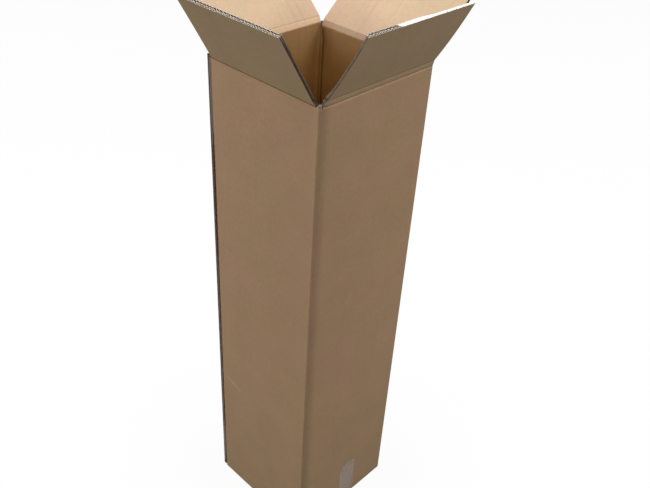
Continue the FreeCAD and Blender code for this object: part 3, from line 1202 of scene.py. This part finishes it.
def scrape(n, paper, shader, start):
    """A pale scrape across the front panel: a short line in the blank's own map.

    It starts at a place on the panel, runs down at a slant, wavers with a
    noise and is worn through in spots.
    """
    length, width = 0.045, 0.0018
    flat = n.blank()
    values = {"Vector": flat, "Location": (start - 0.109, 0.316, 0.0),
              "Rotation": (0.0, 0.0, math.radians(-16.8))}
    turned = n.parts(n.add("ShaderNodeMapping", values, vector_type="TEXTURE").outputs[0])
    wave = n.line(n.noise(flat, 70.0), 0.003, -0.0015)
    across = n.math("COMPARE", n.math("ADD", turned[1], wave), 0.0, width / 2)
    along = n.math("COMPARE", turned[0], length / 2, length / 2)
    worn = n.math("MULTIPLY", n.math("MULTIPLY", across, along), n.noise(flat, 400.0))
    n.put(n.mix(worn, paper.outputs["Colour"], (0.92, 0.71, 0.51, 1)), shader["Base Color"])


def show_liners(n, paper, colour):
    """Lines on a crushed edge: pale where the liners lie in its depth, painted shade between them for
    the flutes' cavities.
    """
    wander = n.line(n.noise(n.blank(), 260.0), 0.16, -0.08)
    depth = n.math("ADD", n.mark("depth"), wander)
    lines = [n.math("COMPARE", depth, place, 0.07) for place in (0.02, 0.40, 0.98)]
    line = n.math("MAXIMUM", n.math("MAXIMUM", lines[0], lines[1]), lines[2])
    # Painted shade between the liners: 0.22 of the edge's colour.
    dark = tuple(0.22 * part for part in colour)
    n.put(n.mix(line, (*dark, 1.0), (*colour, 1.0)), paper.inputs["Colour"])


def make_papers(starts):
    """Make the six paper finishes, coloured along the blank."""
    colours = bpy.context.scene.box_colours
    fine, coarse = board().outer_flute_pitch, board().inner_flute_pitch
    fold = INNER_CREASE
    # The flaps' outside takes the painted-shade copy of the outer liner.
    n, paper, shader = paper_material("Outer liner", colours.flap_outside_shaded, fine, 0.4, 0.6, 0.12)
    # Painted shade: the outside darkens towards the bottom.
    shade_by_height(n, paper, [(0.0, 0.42, colours.outer_low_shaded),
                               (fold - 0.0004, fold + 0.0004, colours.outer_liner)])
    scrape(n, paper, shader, starts["front"])
    n, paper, _ = paper_material("Inner liner", colours.inner_liner, coarse, 0.4, 0.8, 0.55)
    # Painted shade on the body's inside walls, darkest far down.
    shade_by_height(n, paper, [(fold - 0.19, fold - 0.09, colours.deepest_inside_shade),
                               (fold - 0.09, fold - 0.02, colours.deep_inside_shade),
                               (fold - 0.0008, fold + 0.0008, colours.inside_top_shade)])
    n, paper, _ = paper_material("Cut edge", colours.cut_edge, fine, 0.0, 1.0)
    # Painted shade on the flaps' cut edges, from the creases up to 0.115 m above them.
    shade_by_height(n, paper, [(0.10, 0.14, colours.joint_low),
                               (fold - 0.001, fold + 0.001, colours.joint_edge),
                               (fold + 0.115, fold + 0.122, colours.side_edge_shade)])
    # Painted shade inside the flute channels.
    paper_material("Fluting paper", colours.fluting, fine, 0.0, 1.0)
    # Crushed edge: its brown darkened as painted shade, with painted shade between its liners.
    n, paper, _ = paper_material("Crushed edge", colours.rim, fine, 0.0, 1.0)
    show_liners(n, paper, colours.rim)
    # Painted highlight on the right flap's end.
    paper_material("Pale edge", colours.painted_highlight_edge, fine, 0.0, 0.6)


def papers(starts):
    """The paper finishes, in the order of the material places; made once."""
    names = ("Outer liner", "Inner liner", "Cut edge", "Fluting paper", "Crushed edge", "Pale edge")
    if names[0] not in bpy.data.materials:
        make_papers(starts)
    return [bpy.data.materials[name] for name in names]


def tape_material():
    """Clear tape: a thin gloss film with streaks along it and trapped air."""
    colour = bpy.context.scene.box_colours.tape
    material, n, shader = new_material("Clear tape", colour, 0.5, 0.5)
    flat = n.blank()
    streak = n.fibres(flat, (420.0, 14.0), 3.0, 0.6)
    air = n.noise(flat, 90.0)
    tone = n.math("ADD", n.line(streak, 0.22, 0.82), n.math("MULTIPLY", air, 0.12))
    n.put(n.scaled(tuple(colour), tone), shader["Base Color"])
    n.put(n.line(air, 0.15, 0.38), shader["Roughness"])
    n.put(n.line(streak, 0.2, 0.40), shader["Alpha"])
    n.put(n.bump(0.3, 0.0001, air), shader["Normal"])
    return material


# ---------------------------------------------------------------- the stage

WHITE = (1.0, 1.0, 1.0, 1.0)


def emptied(tree):
    """A node tree with its nodes taken out, ready for others."""
    tree.nodes.clear()
    return Nodes(tree)


def seen_directly(n):
    """1 for the rays that show a thing itself: from the camera, in a gloss or through a film."""
    path = n.add("ShaderNodeLightPath").outputs
    seen = n.math("MAXIMUM", path["Is Camera Ray"], path["Is Transmission Ray"])
    return n.math("MAXIMUM", seen, path["Is Glossy Ray"])


def floor_material():
    """A white floor that keeps the box's shadow."""
    material = bpy.data.materials.new("Pale floor")
    material.use_nodes = True
    n = emptied(material.node_tree)
    seen = seen_directly(n)
    tone = n.line(seen, 0.86, 0.09)
    grey = n.add("ShaderNodeCombineColor", {0: tone, 1: tone, 2: tone}).outputs[0]
    paint = n.add("ShaderNodeBsdfDiffuse", {"Color": grey}).outputs[0]
    glow = n.add("ShaderNodeEmission", {"Color": WHITE, "Strength": 1.0}).outputs[0]
    share = n.math("MULTIPLY", seen, 0.95)
    mixed = n.add("ShaderNodeMixShader", {0: share, 1: paint, 2: glow}).outputs[0]
    n.add("ShaderNodeOutputMaterial", {0: mixed})
    return material


def make_floor():
    """The floor that the box stands on, a hair below its foot."""
    reach, drop = 14.0, -0.0001
    turns = ((-1, -1), (1, -1), (1, 1), (-1, 1))
    mesh = bpy.data.meshes.new("floor")
    mesh.from_pydata([(x * reach, y * reach, drop) for x, y in turns], [], [(0, 1, 2, 3)])
    mesh.materials.append(floor_material())
    new_thing("floor", mesh)


def make_world(strength):
    """White air all round, seen as plain white."""
    world = bpy.data.worlds.new("Studio")
    world.use_nodes = True
    bpy.context.scene.world = world
    n = emptied(world.node_tree)
    power = n.line(seen_directly(n), 1.0 - strength, strength)
    air = n.add("ShaderNodeBackground", {"Color": WHITE, "Strength": power}).outputs[0]
    n.add("ShaderNodeOutputWorld", {0: air})


def add_lamp(name, place, aim, width, height, power):
    """A rectangular lamp at a place, turned to face its aim."""
    lamp = bpy.data.lights.new(name, "AREA")
    lamp.shape = "RECTANGLE"
    lamp.size = width
    lamp.size_y = height
    lamp.energy = power
    thing = new_thing(name, lamp)
    thing.location = place
    thing.rotation_mode = "QUATERNION"
    thing.rotation_quaternion = (Vector(aim) - Vector(place)).to_track_quat("-Z", "Y")


def add_camera(lens):
    """The camera: right of the front, above the box, with a slight roll."""
    azimuth, elevation, roll = (math.radians(x) for x in (42.675, 35.228, 3.418))
    place = (0.82442, -0.85911, 1.50575)
    camera = bpy.data.cameras.new("camera")
    camera.lens = lens
    camera.sensor_width = 36.0
    camera.sensor_fit = "HORIZONTAL"
    camera.clip_start = 0.01
    level = Vector((-math.sin(azimuth), math.cos(azimuth), 0))
    forward = level * math.cos(elevation) - Vector((0, 0, math.sin(elevation)))
    right = Vector((math.cos(azimuth), math.sin(azimuth), 0))
    up = right.cross(forward)
    across = right * math.cos(roll) + up * math.sin(roll)
    above = up * math.cos(roll) - right * math.sin(roll)
    turn = Matrix((across, above, -forward)).transposed()
    thing = new_thing("camera", camera)
    thing.matrix_world = Matrix.Translation(place) @ turn.to_4x4()
    bpy.context.scene.camera = thing


# ---------------------------------------------------------------- operators

class BuildBody(bpy.types.Operator):
    """Build the folded body with its glued joint and shut bottom."""

    bl_idname = "box.build_body"
    bl_label = "Build body"

    def execute(self, context):
        sheets, starts = blank_sheets()
        context.scene["box_blank_starts"] = starts
        sheets += joint_edge_sheets(starts["left"])
        for side in SIDES:
            sheets += bottom_end_sheets(side, starts[side.name])
        body = piece("board_body", sheets, papers(starts))
        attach(body, "box")
        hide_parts("folded_box")
        return {"FINISHED"}


class BuildFlaps(bpy.types.Operator):
    """Build the four top flaps and the creases that join them to the body."""

    bl_idname = "box.build_flaps"
    bl_label = "Build flaps"

    def execute(self, context):
        starts = context.scene["box_blank_starts"]
        for side in SIDES:
            crease_piece(side, starts[side.name], papers(starts))
            flap_piece(side, starts[side.name], papers(starts))
        return {"FINISHED"}


class BuildTape(bpy.types.Operator):
    """Lay the clear tape over the bottom seam."""

    bl_idname = "box.build_tape"
    bl_label = "Build tape"

    def execute(self, context):
        tape_piece(tape_material())
        return {"FINISHED"}


class BuildStage(bpy.types.Operator):
    """Set up the floor, the lamps, the world and the camera."""

    bl_idname = "box.build_stage"
    bl_label = "Build stage"

    def execute(self, context):
        stage = context.scene.box_stage
        context.scene.view_settings.view_transform = "Standard"
        make_floor()
        make_world(stage.ambient)
        add_lamp("top_lamp", (0, 0, 3.6), (0, 0, 1.0), 0.9, 0.9, stage.top_lamp)
        # For each side's lamp: how far along, how high, and its share of the power.
        lamps = ((-1.7, 2.4, 1.06), (1.7, 2.95, 1.01), (-1.7, 2.95, 1.0), (1.7, 2.95, 1.0))
        for side, (along, height, share) in zip(SIDES, lamps):
            place = side.place(along, 4.7, height).tolist()
            add_lamp(side.name + "_lamp", place, (0, 0, 0.8), 2.0, 0.9, stage.side_lamp * share)
        add_camera(stage.lens)
        return {"FINISHED"}


class BoxPanel(bpy.types.Panel):
    """The box's settings and its build steps."""

    bl_idname = "VIEW3D_PT_box"
    bl_label = "Shipping box"
    bl_space_type = "VIEW_3D"
    bl_region_type = "UI"
    bl_category = "Box"

    def draw(self, context):
        for name, group_class in SETTINGS.items():
            box = self.layout.box()
            box.label(text=group_class.__doc__)
            for key in group_class.__annotations__:
                box.prop(getattr(context.scene, name), key)
        for operator in OPERATORS:
            self.layout.operator(operator.bl_idname)


OPERATORS = (BuildBody, BuildFlaps, BuildTape, BuildStage)
CLASSES = tuple(SETTINGS.values()) + OPERATORS + (BoxPanel,)


def register():
    """Register the classes and hang the settings on the scene."""
    for item in CLASSES:
        bpy.utils.register_class(item)
    for name, group_class in SETTINGS.items():
        setattr(bpy.types.Scene, name, bpy.props.PointerProperty(type=group_class))


def unregister():
    """Take the settings and the classes away again."""
    for name in SETTINGS:
        delattr(bpy.types.Scene, name)
    for item in reversed(CLASSES):
        bpy.utils.unregister_class(item)


def main():
    """Build the whole box."""
    register()
    bpy.ops.box.build_body()
    bpy.ops.box.build_flaps()
    bpy.ops.box.build_tape()
    bpy.ops.box.build_stage()


if __name__ == "__main__":
    main()
